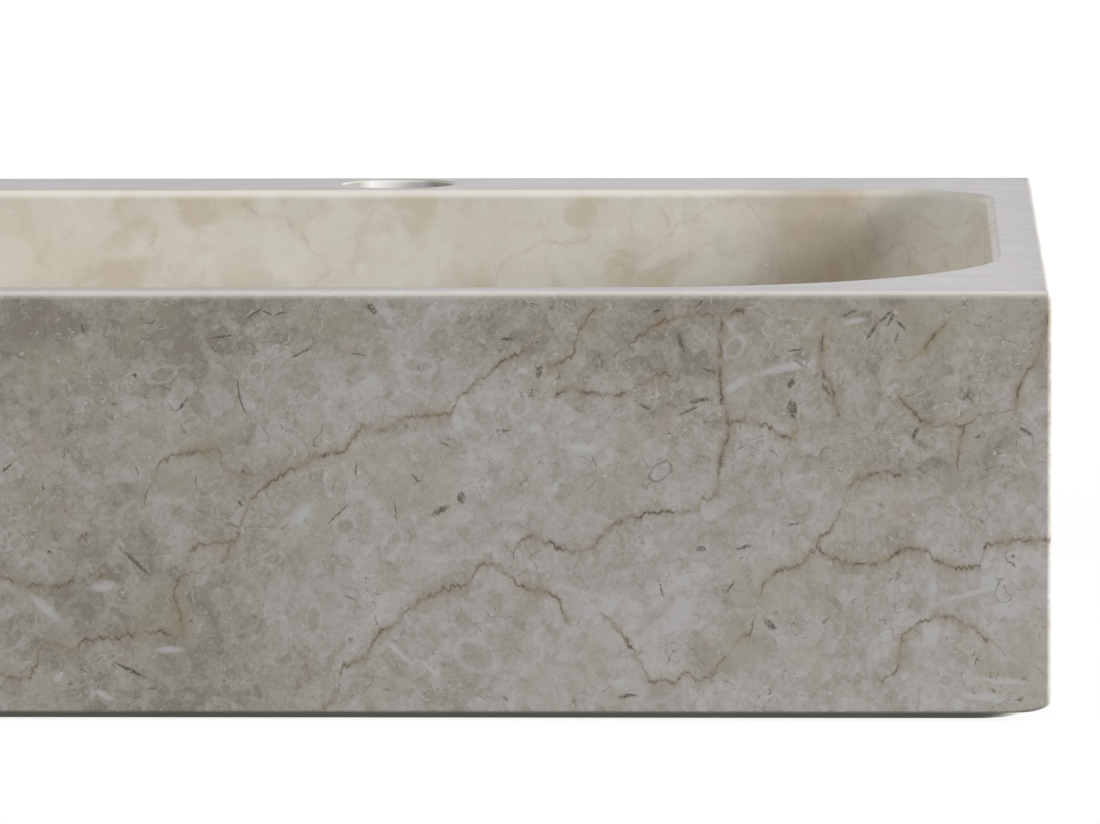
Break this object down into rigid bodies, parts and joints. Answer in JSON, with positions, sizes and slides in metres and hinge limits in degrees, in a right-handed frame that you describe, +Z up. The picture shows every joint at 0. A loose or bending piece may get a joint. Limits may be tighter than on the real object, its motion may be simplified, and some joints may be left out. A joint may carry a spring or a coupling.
{
  "type": "marble vessel sink",
  "caption": "Square stone vessel sink with a carved, round-cornered basin, a tap hole in its rear deck and a push-to-close waste in its floor.",
  "frame": {"origin": "middle of the base, on the surface that the sink stands on", "axes": "+X to the right seen from the front, +Y to the back, +Z up; the basin opens to +Z"},
  "size_m": [0.4, 0.4, 0.12],
  "materials": {
    "marble": "polished grey-beige marble with fine brown veins",
    "chrome": "polished chrome plate on brass",
    "brass": "machined, unplated",
    "rubber": "moulded black rubber",
    "foam": "closed-cell foam",
    "plastic": "natural white, moulded",
    "fibre": "red vulcanised fibre",
    "steel": "drawn stainless steel"
  },
  "bodies": {
    "sink": {"marble_basin": "marble", "waste_body": "chrome", "flange_gasket": "foam", "under_gasket": "rubber", "slip_washer": "plastic", "lock_nut": "brass", "cartridge_barrel": "brass", "barrel_washer": "fibre", "cartridge_spring": "steel", "spring_seat": "steel", "follower_wire": "steel"},
    "plug": {"plug_cap": "chrome", "plug_seal": "rubber", "plunger": "brass", "jam_nut": "brass"}
  },
  "joints": [
    {"name": "plug_slide", "type": "slide", "parent": "sink", "child": "plug", "axis": [0, 0, 1], "range_m": [0, 0.008], "deforming": ["cartridge_spring"]}
  ]
}
